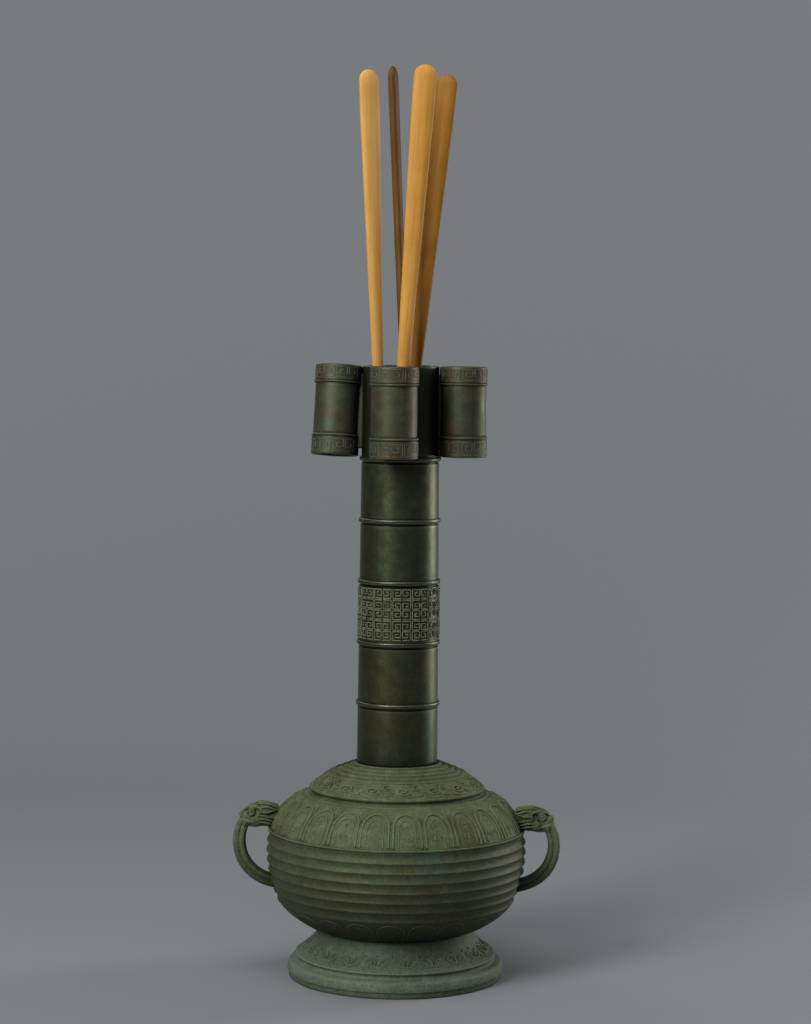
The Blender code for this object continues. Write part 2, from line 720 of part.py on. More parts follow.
def main():
    clear_scene()
    parts = bpy.data.collections.new("bronze arrow vase")
    helpers = bpy.data.collections.new("cutters")
    bpy.context.scene.collection.children.link(parts)
    bpy.context.scene.collection.children.link(helpers)
    cast_bronze = make_material("patinated cast bronze", 74, 80, 62, 0.62, 0.45)
    smooth_bronze = make_material("dark smooth bronze", 49, 54, 40, 0.42, 0.60)
    belly_bronze = make_material("brown fluted bronze", 55, 58, 44, 0.52, 0.50)
    pale_wood = make_material("pale turned wood", 184, 137, 72, 0.50, 0.0)

    turned("pedestal_foot", foot_profile(), BODY_SEGMENTS, parts, cast_bronze)
    turned("belly_bowl", bowl_profile(), BODY_SEGMENTS, parts, belly_bronze)
    make_floor_plate(parts, belly_bronze)
    turned("shoulder_dome", dome_profile(), BODY_SEGMENTS, parts, cast_bronze)
    turned("neck_tube", neck_profile(), NECK_SEGMENTS, parts, smooth_bronze)

    neck_cutter = make_neck_cutter(helpers)
    ears = (
        ("right", 0, 0, 0),
        ("rear", 90, 0, 0),
        ("left", 180, LEFT_EAR_LEAN, LEFT_EAR_TIP),
        ("front", 270, 0, 0),
    )
    for side, degrees, lean, tip in ears:
        direction = math.radians(degrees) + EAR_RING_TURN
        make_ear(f"ear_tube_{side}", direction, lean, tip, neck_cutter, parts, helpers, smooth_bronze)

    make_handles(make_body_cutter(helpers), parts, helpers, cast_bronze)
    for name, mouth, stand, blade_turn in ARROWS:
        make_arrow(name, mouth, stand, blade_turn, parts, pale_wood)

    for part in parts.objects:
        part.modifiers.new("even shading", "WEIGHTED_NORMAL")


main()
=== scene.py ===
# Bronze arrow vase, dressed: every cast section, the handles and the arrows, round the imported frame.
import math

import bpy
from mathutils import Matrix, Quaternion, Vector


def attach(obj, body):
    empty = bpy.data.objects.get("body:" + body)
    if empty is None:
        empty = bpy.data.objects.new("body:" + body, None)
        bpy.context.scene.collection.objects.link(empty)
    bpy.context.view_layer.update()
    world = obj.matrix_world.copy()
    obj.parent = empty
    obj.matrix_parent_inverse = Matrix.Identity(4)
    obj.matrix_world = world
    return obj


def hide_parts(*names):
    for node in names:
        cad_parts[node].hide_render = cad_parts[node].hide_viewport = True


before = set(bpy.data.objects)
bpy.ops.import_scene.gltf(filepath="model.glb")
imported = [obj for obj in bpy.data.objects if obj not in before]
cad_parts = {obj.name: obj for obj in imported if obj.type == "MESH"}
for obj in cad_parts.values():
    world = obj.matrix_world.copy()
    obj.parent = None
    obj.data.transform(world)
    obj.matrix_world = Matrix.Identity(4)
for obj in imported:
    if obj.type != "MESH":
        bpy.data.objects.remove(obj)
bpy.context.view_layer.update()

mm = 0.001
turn = 2 * math.pi
scene = bpy.context.scene
scene.view_settings.view_transform = "Standard"


# camera: long lens, a little above the mouth, tilted as the photograph is; metres and degrees, the lens and
# the sensor in millimetres
view = {
    "azimuth": 2.5, "distance": 2.667, "height": 0.6434, "aimHeight": 0.4636, "aimAside": 0.0057,
    "roll": 0.61, "lens": 94.9, "sensor": 36, "farthest": 50,
}


def placeCamera():
    a = math.radians(view["azimuth"])
    spot = Vector((math.sin(a) * view["distance"], -math.cos(a) * view["distance"], view["height"]))
    aim = Vector((math.cos(a), math.sin(a), 0)) * view["aimAside"] + Vector((0, 0, view["aimHeight"]))
    bpy.ops.object.camera_add(location=spot)
    camera = bpy.context.object
    look = (aim - spot).to_track_quat("-Z", "Y") @ Quaternion((0, 0, 1), math.radians(view["roll"]))
    camera.rotation_euler = look.to_euler()
    camera.data.sensor_width = view["sensor"]
    camera.data.lens = view["lens"]
    camera.data.clip_end = view["farthest"]
    scene.camera = camera


placeCamera()
print("camera placed")


# colour and nodes
def hexColour(code):
    channels = []
    for start in (0, 2, 4):
        value = int(code[start:start + 2], 16) / 255
        channels.append(value / 12.92 if value <= 0.04045 else ((value + 0.055) / 1.055) ** 2.4)
    return (*channels, 1)


def addNode(tree, kind, inputs=None, **settings):
    node = tree.nodes.new("ShaderNode" + kind)
    for key, value in settings.items():
        setattr(node, key, value)
    for key, value in (inputs or {}).items():
        if isinstance(value, bpy.types.NodeSocket):
            tree.links.new(value, node.inputs[key])
        else:
            node.inputs[key].default_value = value
    return node


def emptyMaterial(name):
    material = bpy.data.materials.new(name)
    material.use_nodes = True
    tree = material.node_tree
    tree.nodes.clear()
    return material, tree


# noise whose pattern has a size in millimetres
def noise(tree, place, size, detail, roughness=0.5):
    pattern = {"Vector": place, "Scale": 1 / (size * mm), "Detail": detail, "Roughness": roughness}
    return addNode(tree, "TexNoise", pattern).outputs["Fac"]


def fade(tree, value, start, end, low=0.0, high=1.0):
    limits = {"Value": value, "From Min": start, "From Max": end, "To Min": low, "To Max": high}
    return addNode(tree, "MapRange", limits).outputs["Result"]


def blend(tree, share, under, over, kind="MIX"):
    return addNode(tree, "Mix", {0: share, 6: under, 7: over}, data_type="RGBA", blend_type=kind).outputs[2]


# how open a spot is, within a reach in millimetres: none in a crevice, one in free air
def openAir(tree, reach, samples):
    return addNode(tree, "AmbientOcclusion", {"Distance": reach * mm}, samples=samples).outputs["AO"]


# cast bronze under an old patina: broad clouds of green and brown, a pale bloom in blotches, patches of
# verdigris, crests rubbed pale and lightened further as a painted highlight, dark dirt in the hollows,
# painted shade in broad recesses and towards the bottom, and the sandy grit of the mould
def patinaBronze(name, look):
    material, tree = emptyMaterial(name)
    place = addNode(tree, "TexCoord").outputs["Object"]
    broad = noise(tree, place, look["cloud"], 3.0, 0.55)
    blotch = noise(tree, place, look["blotch"], 5.0, 0.62)
    shifted = addNode(tree, "Mapping", {"Vector": place, "Location": look["patchShift"]}).outputs["Vector"]
    patch = noise(tree, shifted, look["patch"], 6.0, 0.66)
    grit = noise(tree, place, look["grit"], 3.0, 0.7)
    pits = {"Vector": place, "Scale": 1 / (look["pit"] * mm), "Randomness": 1.0}
    pit = addNode(tree, "TexVoronoi", pits).outputs["Distance"]
    pointed = addNode(tree, "NewGeometry").outputs["Pointiness"]
    level = addNode(tree, "SeparateXYZ", {"Vector": place}).outputs["Z"]

    colour = blend(tree, fade(tree, broad, 0.40, 0.62), hexColour(look["body"]), hexColour(look["second"]))
    bloomed = fade(tree, blotch, 0.46, 0.74, high=look["bloomAmount"])
    colour = blend(tree, bloomed, colour, hexColour(look["bloom"]))
    patched = fade(tree, patch, look["patchFrom"], look["patchFrom"] + 0.12, high=look["patchAmount"])
    colour = blend(tree, patched, colour, hexColour(look["verdigris"]))
    gritTone = fade(tree, grit, 0.28, 0.72, 1 - look["gritTone"], 1 + look["gritTone"])
    colour = blend(tree, 1.0, colour, gritTone, "MULTIPLY")
    # crests and rings lightened by pointiness: partly real rubbed wear, partly a painted highlight
    rubbed = fade(tree, pointed, 0.515, look["rubAndHighlightFull"], high=look["rubAndHighlightAmount"])
    colour = blend(tree, rubbed, colour, hexColour(look["rubAndHighlight"]))
    dirty = fade(tree, openAir(tree, look["dirtReach"], 6), 0.35, 0.85, look["dirtAmount"], 0.0)
    colour = blend(tree, dirty, colour, hexColour(look["dirt"]))
    # painted shade: darker where the air within a broad reach is closed in, as under the cap, below the ears
    # and under the belly
    around = openAir(tree, look["shadeReach"], 5)
    shaded = fade(tree, around, look["shadeFull"], look["shadeNone"], look["shadeAmount"], 0.0)
    colour = blend(tree, shaded, colour, hexColour(look["shade"]))
    # painted shade: darker towards the bottom, fading out between two heights, in the shade colour
    low, high = look["shadeBelow"]
    shadedBelow = fade(tree, level, low * mm, high * mm, look["shadeBelowAmount"], 0.0)
    colour = blend(tree, shadedBelow, colour, hexColour(look["shade"]))

    gloss = fade(tree, blotch, 0.35, 0.70, look["roughLow"], look["roughHigh"])
    height = addNode(tree, "Math", {0: grit, 1: fade(tree, pit, 0.0, 0.28, -0.5, 0.0)}, operation="ADD")
    height = addNode(tree, "Math", {0: blotch, 1: 1.2, 2: height.outputs[0]}, operation="MULTIPLY_ADD")
    bump = {"Height": height.outputs[0], "Strength": look["grain"], "Distance": 0.4 * mm}
    shader = addNode(tree, "BsdfPrincipled", {
        "Base Color": colour, "Roughness": gloss, "Metallic": look["metallic"],
        "Normal": addNode(tree, "Bump", bump).outputs["Normal"], "Specular Tint": hexColour(look["sheen"]),
    })
    addNode(tree, "OutputMaterial", {"Surface": shader.outputs["BSDF"]})
    return material


# clouds, blotches, patches, grit, pits, reaches and the heights between which the painted shade below fades
# are in millimetres
castLook = {
    "body": "5E654A", "second": "50543A", "cloud": 70,
    "bloom": "808868", "bloomAmount": 0.55, "blotch": 13,
    "verdigris": "4A6B54", "patch": 46, "patchShift": (0.3, 0.1, 0.2), "patchFrom": 0.56, "patchAmount": 0.5,
    "rubAndHighlight": "7E8266", "rubAndHighlightAmount": 0.4, "rubAndHighlightFull": 0.60,
    "dirt": "2A2E1E", "dirtAmount": 0.65, "dirtReach": 3.0,
    "shade": "161B10", "shadeAmount": 0.65, "shadeReach": 38, "shadeFull": 0.30, "shadeNone": 0.82,
    "shadeBelow": (0, 100), "shadeBelowAmount": 0.0,
    "grit": 2.6, "gritTone": 0.32, "pit": 6.0, "grain": 0.85,
    "roughLow": 0.58, "roughHigh": 0.80, "metallic": 0.12, "sheen": "ACB48C",
}
footLook = {
    **castLook, "body": "6B7B66", "second": "5F6E5A", "bloom": "879581", "patchShift": (0.7, 0.4, 0.0),
    "shadeAmount": 0.45,
}
bellyLook = {
    **castLook, "body": "4F5842", "second": "504E38", "bloom": "646E56", "bloomAmount": 0.45,
    "verdigris": "426655", "patch": 60, "patchFrom": 0.57, "patchAmount": 0.45,
    "rubAndHighlight": "868A72", "rubAndHighlightAmount": 0.8, "dirt": "1C1E13",
    "shade": "070B05", "shadeAmount": 1.0, "shadeReach": 70, "shadeBelow": (56, 122), "shadeBelowAmount": 0.65,
    "grain": 0.50, "roughLow": 0.48, "roughHigh": 0.66, "metallic": 0.15,
}
neckLook = {
    **castLook, "body": "485039", "second": "4C4931", "cloud": 55, "bloom": "5B644B", "bloomAmount": 0.45,
    "verdigris": "3B5442", "patch": 50, "patchFrom": 0.58, "patchAmount": 0.4,
    "rubAndHighlight": "989C86", "rubAndHighlightAmount": 0.85, "rubAndHighlightFull": 0.57, "dirt": "14160E",
    "shade": "0B0E08", "shadeAmount": 0.9, "shadeReach": 58, "shadeFull": 0.55, "shadeNone": 0.93,
    "gritTone": 0.16, "grain": 0.24, "roughLow": 0.34, "roughHigh": 0.47, "metallic": 0.78, "sheen": "FFFFFF",
}
earLook = {
    **neckLook, "body": "4B543E", "second": "554634", "cloud": 42, "bloom": "626B52",
    "patchShift": (0.1, 0.5, 0.3), "rubAndHighlightAmount": 0.2, "shadeReach": 38, "shadeFull": 0.30, "shadeNone": 0.82,
    "roughLow": 0.49, "roughHigh": 0.62, "metallic": 0.6,
}
reliefLook = {
    **castLook, "body": "5B6047", "second": "545539", "bloom": "6E7359", "rubAndHighlight": "868870", "rubAndHighlightAmount": 0.6,
    "shadeAmount": 0.5, "roughLow": 0.55, "metallic": 0.20,
}
handleLook = {
    **castLook, "body": "6A7558", "second": "5B6348", "bloom": "808A6E", "rubAndHighlight": "8E9579", "rubAndHighlightAmount": 0.5,
    "dirt": "171A10", "dirtAmount": 0.9, "dirtReach": 2.5,
    "shadeAmount": 0.6, "shadeBelow": (82, 146), "shadeBelowAmount": 0.8,
    "grain": 0.45, "roughLow": 0.52, "roughHigh": 0.70, "metallic": 0.16,
}
castBronze = patinaBronze("sand-cast bronze, matte green patina", castLook)
footBronze = patinaBronze("sand-cast bronze, grey-green patina", footLook)
bellyBronze = patinaBronze("turned bronze, brown-green patina", bellyLook)
neckBronze = patinaBronze("smooth bronze, dark waxed patina", neckLook)
earBronze = patinaBronze("smooth bronze, worn brown patina", earLook)
reliefBronze = patinaBronze("chased bronze relief, matte patina", reliefLook)
handleBronze = patinaBronze("lost-wax bronze, dark patina", handleLook)


# coordinates in which one unit is so many millimetres across the stick and along it
def drawnOut(tree, along, across, length):
    scale = (1 / (across * mm), 1 / (across * mm), 1 / (length * mm))
    return addNode(tree, "Mapping", {"Vector": along, "Scale": scale}).outputs["Vector"]


# planed and hand-rubbed pale hardwood: straight fine grain along the stick, soft satin sheen, darker pores
def rubbedWood(name, look, up):
    material, tree = emptyMaterial(name)
    place = addNode(tree, "TexCoord").outputs["Object"]
    lean = Vector((0, 0, 1)).rotation_difference(Vector(up)).inverted().to_euler()
    along = addNode(tree, "Mapping", {"Vector": place, "Rotation": lean}).outputs["Vector"]
    fine = drawnOut(tree, along, 1.1, 60)
    pores = {"Vector": fine, "Scale": 1.0, "Detail": 4.0, "Roughness": 0.6, "Distortion": 0.3}
    grain = addNode(tree, "TexNoise", pores).outputs["Fac"]
    wide = drawnOut(tree, along, 6, 170)
    streaks = {"Vector": wide, "Scale": 1.0, "Detail": 3.0, "Roughness": 0.5}
    figure = addNode(tree, "TexNoise", streaks).outputs["Fac"]
    stain = noise(tree, along, 30, 3.0)

    colour = blend(tree, fade(tree, figure, 0.35, 0.65), hexColour(look["body"]), hexColour(look["late"]))
    colour = blend(tree, fade(tree, grain, 0.52, 0.74, high=0.45), colour, hexColour(look["pore"]))
    colour = blend(tree, fade(tree, stain, 0.42, 0.70, high=0.55), colour, hexColour(look["hands"]))
    gloss = fade(tree, grain, 0.3, 0.7, 0.52, 0.66)
    relief = addNode(tree, "Bump", {"Height": grain, "Strength": 0.12, "Distance": 0.2 * mm})
    shader = addNode(tree, "BsdfPrincipled", {
        "Base Color": colour, "Roughness": gloss, "Specular IOR Level": 0.25,
        "Normal": relief.outputs["Normal"],
    })
    addNode(tree, "OutputMaterial", {"Surface": shader.outputs["BSDF"]})
    return material


print("materials made")


# modelling helpers
def deselect():
    if bpy.context.mode != "OBJECT":
        bpy.ops.object.mode_set(mode="OBJECT")
    bpy.ops.object.select_all(action="DESELECT")


def pick(*things):
    deselect()
    for thing in things:
        thing.select_set(True)
    bpy.context.view_layer.objects.active = things[0]


def applied(piece, kind, **settings):
    pick(piece)
    modifier = piece.modifiers.new(kind.lower(), kind)
    for key, value in settings.items():
        setattr(modifier, key, value)
    bpy.ops.object.modifier_apply(modifier=modifier.name)


def closeMesh(piece):
    pick(piece)
    bpy.ops.object.mode_set(mode="EDIT")
    bpy.ops.mesh.select_all(action="SELECT")
    bpy.ops.mesh.remove_doubles(threshold=0.005 * mm)
    bpy.ops.mesh.normals_make_consistent(inside=False)
    bpy.ops.object.mode_set(mode="OBJECT")


def smoothFaces(piece, angle=40):
    pick(piece)
    bpy.ops.object.shade_smooth_by_angle(angle=math.radians(angle))


def finished(material, *pieces):
    for piece in pieces:
        piece.data.materials.clear()
        piece.data.materials.append(material)


def joined(name, pieces):
    pick(*pieces)
    bpy.ops.object.join()
    piece = bpy.context.object
    piece.name = name
    piece.data.name = name
    return piece


def bow(start, bend, end, steps):
    points = []
    for step in range(steps + 1):
        t = step / steps
        points.append(tuple((1 - t) ** 2 * a + 2 * t * (1 - t) * b + t * t * c
                            for a, b, c in zip(start, bend, end)))
    return points


# outline points a step out and up from one place
def stepsFrom(radius, height, *steps):
    return [(radius + out, height + up) for out, up in steps]


# a closed (radius, height) outline in millimetres, grown point by point and spun round Z
def turnOutline(name, outline, steps):
    deselect()
    bpy.ops.mesh.primitive_plane_add(size=1 * mm)
    piece = bpy.context.object
    piece.name = name
    bpy.ops.object.mode_set(mode="EDIT")
    bpy.ops.mesh.select_all(action="SELECT")
    bpy.ops.mesh.merge(type="CENTER")
    spot = Vector((0, 0, 0))
    for index, (radius, height) in enumerate([*outline, outline[0]]):
        step = Vector((radius, 0, height)) * mm - spot
        if index:
            bpy.ops.mesh.extrude_vertices_move(TRANSFORM_OT_translate={"value": step})
        else:
            bpy.ops.transform.translate(value=step)
        spot += step
    bpy.ops.mesh.select_all(action="SELECT")
    bpy.ops.mesh.spin(steps=steps, angle=turn, center=(0, 0, 0), axis=(0, 0, 1))
    bpy.ops.object.mode_set(mode="OBJECT")
    closeMesh(piece)
    return piece


# slight unevenness of a hand-finished casting
def unevenCast(piece, size, depth):
    waves = bpy.data.textures.new(piece.name + " waves", "CLOUDS")
    waves.noise_scale = size * mm
    applied(piece, "DISPLACE", texture=waves, texture_coords="GLOBAL", strength=depth * mm, mid_level=0.5)


# cords along lines of millimetre points: each has its half thickness, one or one a point, its line, and
# whether it closes to a ring
def drawCords(name, cords, sides=1):
    deselect()
    curve = bpy.data.curves.new(name, "CURVE")
    curve.dimensions = "3D"
    curve.bevel_depth = 1 * mm
    curve.bevel_resolution = sides
    curve.use_fill_caps = True
    for halves, points, closed in cords:
        spline = curve.splines.new("POLY")
        spline.points.add(len(points) - 1)
        for index, point in enumerate(points):
            spline.points[index].co = (*(Vector(point) * mm), 1)
            spline.points[index].radius = halves[index] if isinstance(halves, list) else halves
        spline.use_cyclic_u = closed
    piece = bpy.data.objects.new(name, curve)
    scene.collection.objects.link(piece)
    pick(piece)
    bpy.ops.object.convert(target="MESH")
    piece = bpy.context.object
    closeMesh(piece)
    return piece


# a point on a band's outline, by share of its length from the first point
def onOutline(outline, share):
    lengths = [math.dist(a, b) for a, b in zip(outline, outline[1:])]
    left = min(max(share, 0), 1) * sum(lengths)
    for (a, b), length in zip(zip(outline, outline[1:]), lengths):
        if left <= length:
            return tuple(p + (q - p) * left / length for p, q in zip(a, b))
        left -= length
    return outline[-1]


# lines of a motif, given as shares of its width and of the band's height, repeated round the band; a worn
# motif is sunk into the wall by so many millimetres inwards and down
def wrapMotif(name, outline, motif, columns, mirrored=False, sunk=(0.0, 0.0)):
    cords = []
    for column in range(columns):
        for half, line, closed in motif:
            points = []
            for across, up in line:
                if mirrored and column % 2:
                    across = 1 - across
                angle = (column + across) / columns * turn
                radius, height = onOutline(outline, up)
                radius -= sunk[0]
                points.append((radius * math.cos(angle), radius * math.sin(angle), height - sunk[1]))
            cords.append((half, points, closed))
    return drawCords(name, cords)


def spiral(middle, start, end, first, turns, steps):
    points = []
    for step in range(steps + 1):
        t = step / steps
        angle = first + turns * turn * t
        reach = start + (end - start) * t
        points.append((middle[0] + reach * math.cos(angle), middle[1] + reach * math.sin(angle)))
    return points


def arch(left, right, foot, spring, crown, steps):
    middle = (left + right) / 2
    half = (right - left) / 2
    knee = (foot + spring) / 2
    top = []
    for step in range(steps + 1):
        angle = math.pi * step / steps
        top.append((middle - half * math.cos(angle), spring + (crown - spring) * math.sin(angle)))
    return [(left, foot), (left, knee), *top, (right, knee), (right, foot)]


def bead(across, up, half, width):
    return ([0.3 * half, 0.85 * half, half, 0.85 * half, 0.3 * half],
            [(across + width * s, up) for s in (-1, -0.6, 0, 0.6, 1)], False)


# squared spiral of a fret cell, its long runs cut up so that they bend round the wall
def fretCell(left, low, width, height, half, upended=False):
    corners = [(0, 0), (1, 0), (1, 1), (0.04, 1), (0.04, 0.34), (0.66, 0.34), (0.66, 0.70), (0.36, 0.70)]
    line = []
    for (a, b), (c, d) in zip(corners, corners[1:]):
        cuts = 4 if abs(c - a) > 0.5 else 2
        line += [(a + (c - a) * s / cuts, b + (d - b) * s / cuts) for s in range(cuts)]
    line.append(corners[-1])
    return (half, [(left + width * x, low + height * (1 - y if upended else y)) for x, y in line], False)


def fitPiece(piece, body, nodes):
    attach(piece, body)
    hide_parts(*nodes)
    print(piece.name, "fitted,", len(piece.data.polygons), "faces")


# In each form lengths are millimetres and outline points are (radius, height); "waves" is the size and depth
# of a casting's unevenness, "wear" that of its relief.

# pedestal foot: rolled flange, stepped ledge and a flare with running scrolls
footForm = {
    "steps": 224, "scrolls": 20, "waves": (40, 0.5), "wear": (5, 1.2),
    "flare": ((76.0, 48.2), (82.9, 31.9), (98.0, 24.5)),
    "rim": [(98.9, 24.1), (99.7, 23.5), (100.0, 22.6), (99.6, 21.9), (98.7, 21.2), (98.3, 20.0), (98.5, 18.8),
            (99.4, 17.6), (101.0, 17.0), (103.4, 16.5), (105.2, 15.8), (106.3, 14.6), (106.8, 13.0),
            (107.2, 9.6), (107.5, 7.2), (107.4, 6.4), (106.9, 5.8), (106.3, 5.4), (106.2, 4.4), (106.2, 1.0),
            (105.7, 0.2), (104.9, 0.0)],
    "hollow": [(97.6, 0.0), (95.8, 11.5), (93.6, 20.4), (86.0, 27.0), (79.5, 34.5), (73.0, 44.0),
               (62.0, 44.0), (62.0, 48.2)],
}


def makeFoot():
    flare = bow(*footForm["flare"], 14)
    piece = turnOutline("foot_casting", flare + footForm["rim"] + footForm["hollow"], footForm["steps"])
    unevenCast(piece, *footForm["waves"])
    band = flare[::-1]
    scroll = spiral((0.30, 0.30), 0.03, 0.21, 0.6, 1.35, 26)
    sweep = bow(scroll[-1], (0.62, 0.02), (0.86, 0.34), 8)[1:]
    motif = [
        (1.1, scroll + sweep, False),
        (0.9, bow((0.55, 0.20), (0.62, 0.52), (0.92, 0.50), 8), False),
        (0.8, spiral((0.80, 0.20), 0.02, 0.09, 2.2, 1.1, 12), False),
        bead(0.30, 0.30, 1.4, 0.04), bead(0.70, 0.42, 1.2, 0.04), bead(0.05, 0.12, 1.1, 0.035),
        bead(0.45, 0.58, 1.1, 0.035), bead(0.02, 0.56, 1.0, 0.03),
        (0.6, [(s / 6, 0.05) for s in range(7)], False),
    ]
    relief = wrapMotif("foot_relief", band, motif, footForm["scrolls"], sunk=(0.1, 0.1))
    unevenCast(relief, *footForm["wear"])
    piece = joined("foot_casting", [piece, relief])
    smoothFaces(piece)
    finished(footBronze, piece)
    fitPiece(piece, "vase", ["pedestal_foot"])


# belly bowl: seven hollow flutes between sharp crests over a rounded underside with faint upright petals
bellyForm = {
    "steps": 256, "petals": 22, "waves": (55, 0.5),
    "rimHeight": 146.2, "widest": 127.0, "radius": 129.4, "lowCrest": (118.3, 77.4),
    "flutes": 7, "fluteDepth": 1.95, "fluteSteps": 8, "crestRound": 0.22,
    "underside": ((101.5, 56.4), (76.0, 48.3)),
    "inside": [(61.7, 48.3), (61.7, 44.3), (48.0, 44.3), (48.0, 49.2), (54.3, 49.2), (54.3, 52.3),
               (76.0, 52.3), (86.5, 56.8), (97.0, 62.9), (106.6, 70.6), (113.6, 79.0), (117.0, 88.0),
               (122.5, 105.0), (125.2, 127.0), (123.8, 146.2)],
}


def bellyRadius(height):
    share = (height - bellyForm["widest"]) / (bellyForm["lowCrest"][1] - bellyForm["widest"])
    return bellyForm["radius"] - (bellyForm["radius"] - bellyForm["lowCrest"][0]) * share * share


def makeBelly():
    low = bellyForm["lowCrest"][1]
    count = bellyForm["flutes"] * bellyForm["fluteSteps"]
    wall = []
    for step in range(count + 1):
        share = step % bellyForm["fluteSteps"] / bellyForm["fluteSteps"]
        height = bellyForm["rimHeight"] + (low - bellyForm["rimHeight"]) * step / count
        wall.append((bellyRadius(height) - bellyForm["fluteDepth"] * 4 * share * (1 - share), height))
    under = bow(bellyForm["lowCrest"], *bellyForm["underside"], 14)
    piece = turnOutline("belly_casting", wall + under[1:] + bellyForm["inside"], bellyForm["steps"])
    applied(piece, "BEVEL", width=bellyForm["crestRound"] * mm, segments=2, limit_method="ANGLE",
            angle_limit=math.radians(24))
    unevenCast(piece, *bellyForm["waves"])
    motif = [
        (0.9, arch(0.07, 0.93, 0.72, 0.34, 0.10, 12), False),
        (0.6, arch(0.24, 0.76, 0.70, 0.38, 0.22, 10), False),
    ]
    relief = wrapMotif("belly_relief", under, motif, bellyForm["petals"], sunk=(0.4, -0.3))
    piece = joined("belly_casting", [piece, relief])
    smoothFaces(piece, 32)
    finished(bellyBronze, piece)
    fitPiece(piece, "vase", ["belly_bowl"])


# shoulder dome: ringed collar, scrolled cap with a rolled edge, cove, fillets, petal band and ridge
domeForm = {
    "steps": 240, "petals": 24, "clouds": 16, "waves": (45, 0.5), "wear": (5, 1.2),
    "collarTop": (42.5, 214.5), "collarRings": 4,
    "capBand": ((68.0, 204.6), (76.3, 196.6), (85.4, 190.9)),
    "capEdge": ((85.6, 190.7), (88.0, 190.1), (86.9, 188.0)),
    "cove": ((86.4, 187.3), (84.2, 185.3), (87.8, 183.8)),
    "fillets": [(89.4, 184.0), (90.3, 183.6), (90.8, 182.8), (91.6, 182.1), (92.8, 181.8), (94.2, 182.2),
                (95.3, 182.0), (95.9, 181.4)],
    "petalBand": ((97.2, 180.9), (117.7, 171.5), (124.9, 149.1)),
    "groove": (125.2, 148.4),
    "ridge": ((125.7, 148.6), (128.5, 149.1), (127.9, 147.4)),
    "inside": [(127.2, 146.6), (123.3, 146.5), (123.3, 140.5), (121.3, 140.5), (120.9, 148.5), (116.6, 157.3),
               (110.8, 165.6), (103.8, 172.8), (95.0, 179.3), (82.0, 182.4), (64.5, 200.0), (46.5, 202.5),
               (37.5, 202.5), (37.5, 214.2)],
}


def makeDome():
    top = domeForm["collarTop"]
    foot = domeForm["capBand"][0]
    wide = (foot[0] - top[0]) / domeForm["collarRings"]
    drop = (foot[1] - top[1]) / domeForm["collarRings"]
    collar = []
    for ring in range(domeForm["collarRings"]):
        r, z = top[0] + wide * ring, top[1] + drop * ring
        collar += bow(*stepsFrom(r, z, (-0.8, -0.6), (0.2, 1.4), (1.3, -0.7)), 5)
        collar += bow(*stepsFrom(r, z, (1.4, -1.2), (1.5, 1.3 * drop), (3.4, 1.1 * drop)), 5)
    cap = bow(*domeForm["capBand"], 10)
    petals = bow(*domeForm["petalBand"], 14)
    outline = [
        *collar, *cap, *bow(*domeForm["capEdge"], 6), *bow(*domeForm["cove"], 8), *domeForm["fillets"],
        *petals, domeForm["groove"], *bow(*domeForm["ridge"], 5), *domeForm["inside"],
    ]
    piece = turnOutline("dome_casting", outline, domeForm["steps"])
    unevenCast(piece, *domeForm["waves"])
    curl = spiral((0.41, 0.76), 0.02, 0.075, 0.4, 1.1, 14)
    petal = [
        (1.45, arch(0.07, 0.93, 0.97, 0.50, 0.12, 16), False),
        (0.95, arch(0.235, 0.765, 0.95, 0.56, 0.29, 14), False),
        (0.8, [(-0.10, 0.09), (-0.05, 0.23), (0.0, 0.40), (0.05, 0.23), (0.10, 0.09)], False),
        (0.8, curl, False),
        (0.8, [(1 - x, y) for x, y in curl], False),
        (0.7, [(0.5, 0.92), (0.5, 0.78), (0.5, 0.62), (0.5, 0.50)], False),
        bead(0.5, 0.46, 1.1, 0.035),
    ]
    relief = wrapMotif("petal_relief", petals, petal, domeForm["petals"], sunk=(0.1, 0.1))
    scroll = spiral((0.32, 0.54), 0.03, 0.26, 2.6, -1.5, 26)
    cloud = [
        (1.1, scroll + bow(scroll[-1], (0.58, 0.98), (0.92, 0.74), 8)[1:], False),
        (0.9, spiral((0.78, 0.36), 0.02, 0.17, 3.4, 1.25, 18), False),
        (0.8, bow((0.04, 0.84), (0.30, 1.0), (0.52, 0.86), 8), False),
        bead(0.32, 0.54, 1.4, 0.045), bead(0.78, 0.36, 1.1, 0.035), bead(0.99, 0.60, 1.1, 0.04),
        bead(0.57, 0.22, 1.0, 0.035), (0.6, [(s / 6, 0.07) for s in range(7)], False),
    ]
    clouds = wrapMotif("cap_relief", cap, cloud, domeForm["clouds"])
    for worn in (relief, clouds):
        unevenCast(worn, *domeForm["wear"])
    piece = joined("dome_casting", [piece, relief, clouds])
    smoothFaces(piece)
    finished(castBronze, piece)
    fitPiece(piece, "vase", ["shoulder_dome"])


# neck tube: five rolled rings, each over a groove, and a fret band between the second and the third
neckForm = {
    "steps": 192, "waves": (70, 0.35), "wear": (5, 1.4),
    "foot": (40.1, 214.6), "mouth": (37.8, 608.0), "bore": 35.0, "spigot": (37.2, 202.5),
    "rings": 5, "firstRing": 274.0, "pitch": 60.6,
    "bandProud": 0.7, "bandEdge": 4.6, "fretColumns": 26, "fretRows": 5,
}


def neckRadius(height):
    (low, z0), (high, z1) = neckForm["foot"], neckForm["mouth"]
    return low + (high - low) * (height - z0) / (z1 - z0)


